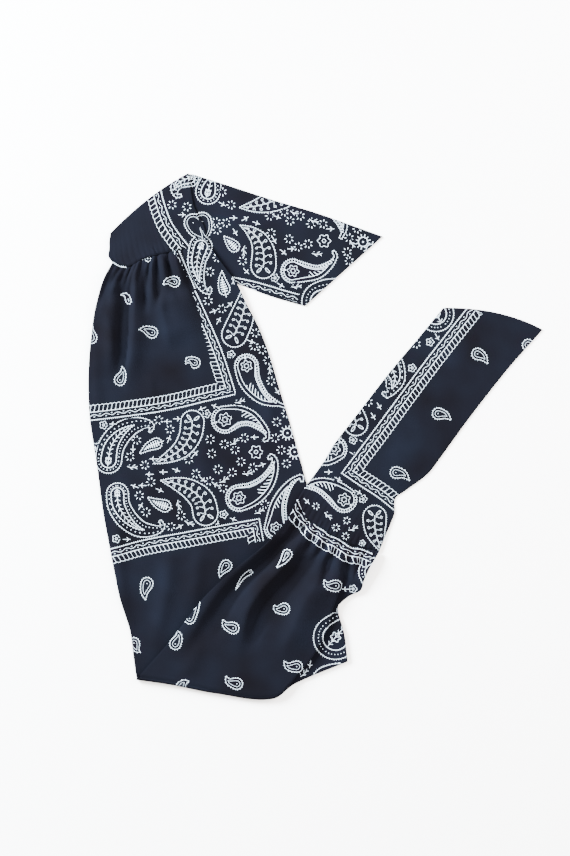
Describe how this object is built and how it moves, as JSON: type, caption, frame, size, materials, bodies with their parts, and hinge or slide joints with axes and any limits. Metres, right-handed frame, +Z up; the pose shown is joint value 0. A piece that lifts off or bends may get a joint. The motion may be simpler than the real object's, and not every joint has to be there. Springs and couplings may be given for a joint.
{
  "type": "cloth headband",
  "caption": "Tie-on headband of printed jersey: a wide band gathered onto a tie at each end, lying folded flat, to be wrapped round the head and knotted.",
  "frame": {"origin": "middle of the box round the headband as it lies, on the table", "axes": "+Z up from the table, +Y along the lower half of the band towards its gathered end, +X towards the free ends of the ties"},
  "size_m": [0.4108, 0.479, 0.0077],
  "materials": {
    "printed_jersey": "matt cotton jersey, black with a blue cast, printed in white with a traditional bandana pattern"
  },
  "bodies": {
    "root": {"head_band": "printed_jersey", "folded_tie": "printed_jersey", "straight_tie": "printed_jersey"}
  },
  "joints": []
}
